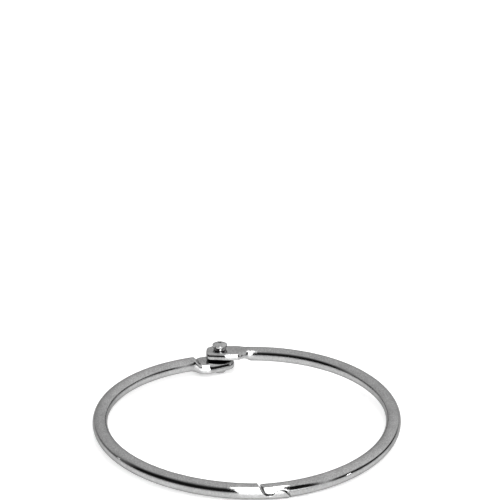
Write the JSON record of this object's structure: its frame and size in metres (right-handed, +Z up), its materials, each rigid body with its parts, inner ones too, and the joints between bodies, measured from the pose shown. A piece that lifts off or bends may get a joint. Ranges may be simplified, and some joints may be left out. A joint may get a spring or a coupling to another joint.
{
  "type": "binder ring",
  "caption": "Hinged loose-leaf ring of round plated wire, with flat riveted lugs at the hinge and hooks that snap together at the catch.",
  "frame": {"origin": "centre of the ring, on the surface that the ring lies on", "axes": "+Z up out of the plane of the ring, +Y from the catch to the hinge, -X to the half whose lug is the lower one"},
  "size_m": [0.0841, 0.0867, 0.0094],
  "materials": {
    "plated_wire": "bright plated steel wire, polished",
    "plated_rivet": "bright plated steel, slightly softer than the wire"
  },
  "bodies": {
    "left_half": {"left_half_ring": "plated_wire", "rivet": "plated_rivet"},
    "right_half": {"right_half_ring": "plated_wire"}
  },
  "joints": [
    {"name": "hinge", "type": "hinge", "parent": "left_half", "child": "right_half", "pos_m": [0, 0.04087, 0.005], "axis": [0, 0, 1], "range_deg": [0, 150]}
  ]
}
